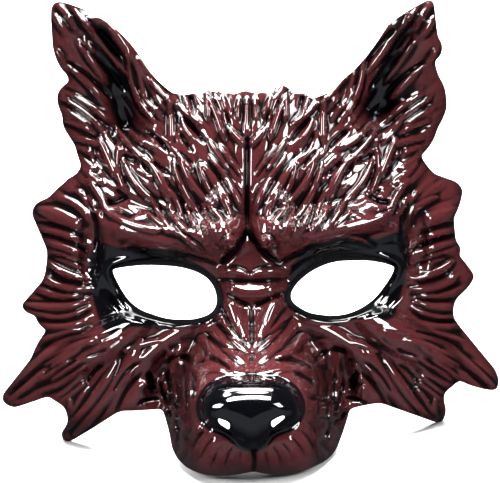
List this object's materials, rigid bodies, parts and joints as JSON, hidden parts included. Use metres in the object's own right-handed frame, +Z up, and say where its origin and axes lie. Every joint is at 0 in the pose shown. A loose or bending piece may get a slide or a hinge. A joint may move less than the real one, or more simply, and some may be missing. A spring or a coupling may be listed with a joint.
{
  "type": "wolf half mask",
  "caption": "Moulded plastic wolf half mask with pricked ears, eye openings, hollow muzzle and shaggy sculpted fur.",
  "frame": {"origin": "on the floor, at the middle of the mask's box", "axes": "+Z up, the muzzle points along -Y, +X to the right of someone who looks at the face"},
  "size_m": [0.2054, 0.1266, 0.1806],
  "materials": {
    "mask_plastic": "glossy oxblood plastic with black wash, black eye surrounds and a black nose"
  },
  "bodies": {
    "root": {"mask_shell": "mask_plastic"}
  },
  "joints": []
}
